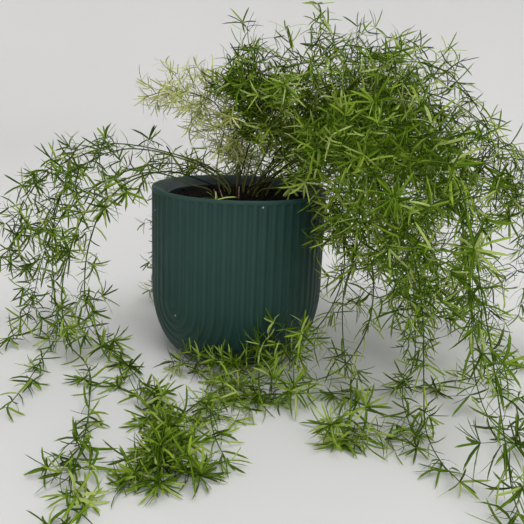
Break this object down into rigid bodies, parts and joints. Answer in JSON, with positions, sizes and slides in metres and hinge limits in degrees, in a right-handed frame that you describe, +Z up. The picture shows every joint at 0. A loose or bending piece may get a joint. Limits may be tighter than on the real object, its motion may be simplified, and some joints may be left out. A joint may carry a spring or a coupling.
{
  "type": "potted sprengeri asparagus fern",
  "caption": "Arching, trailing asparagus fern with needle-like leaves, growing in an upright ribbed pot with a rounded foot.",
  "frame": {"origin": "centre of the pot's flat underside", "axes": "+Z up along the pot's axis; -Y faces the viewer of the picture, with +X to the viewer's right, where most of the foliage hangs"},
  "size_m": [0.545, 0.5022, 0.2954],
  "materials": {
    "pot": "matt dark teal green",
    "soil": "damp peat and bark potting soil, near-black brown",
    "foliage_green": "satin mid green needles on wiry green stems",
    "foliage_pale": "satin yellow-green older needles",
    "dry_stem": "dull pinkish-brown dead stem"
  },
  "bodies": {
    "root": {"pot": "pot", "soil": "soil", "stem_left_low": "foliage_green", "stem_left_table": "foliage_green", "stem_left_mid": "foliage_green", "stem_left_high": "foliage_green", "stem_left_far": "foliage_green", "stem_pale_left": "foliage_pale", "stem_pale_centre": "foliage_pale", "stem_plume": "foliage_green", "stem_spike": "foliage_green", "stem_top_near": "foliage_green", "stem_top_far": "foliage_green", "stem_right_back": "foliage_green", "stem_right_high": "foliage_green", "stem_right_mid": "foliage_green", "stem_front_long": "foliage_green", "stem_right_near": "foliage_green", "stem_right_inner": "foliage_green", "stem_drop_mid": "foliage_green", "stem_front_trail": "foliage_green", "stem_front_low": "foliage_green", "stem_right_front": "foliage_green", "stem_near_arch": "foliage_green", "stem_near_right": "foliage_green", "stem_back_left": "foliage_green", "stem_back_mid": "foliage_green", "stem_back_right": "foliage_green", "stem_back_high": "foliage_green", "dry_stub_1": "dry_stem", "dry_stub_2": "dry_stem", "dry_stub_3": "dry_stem"}
  },
  "joints": []
}
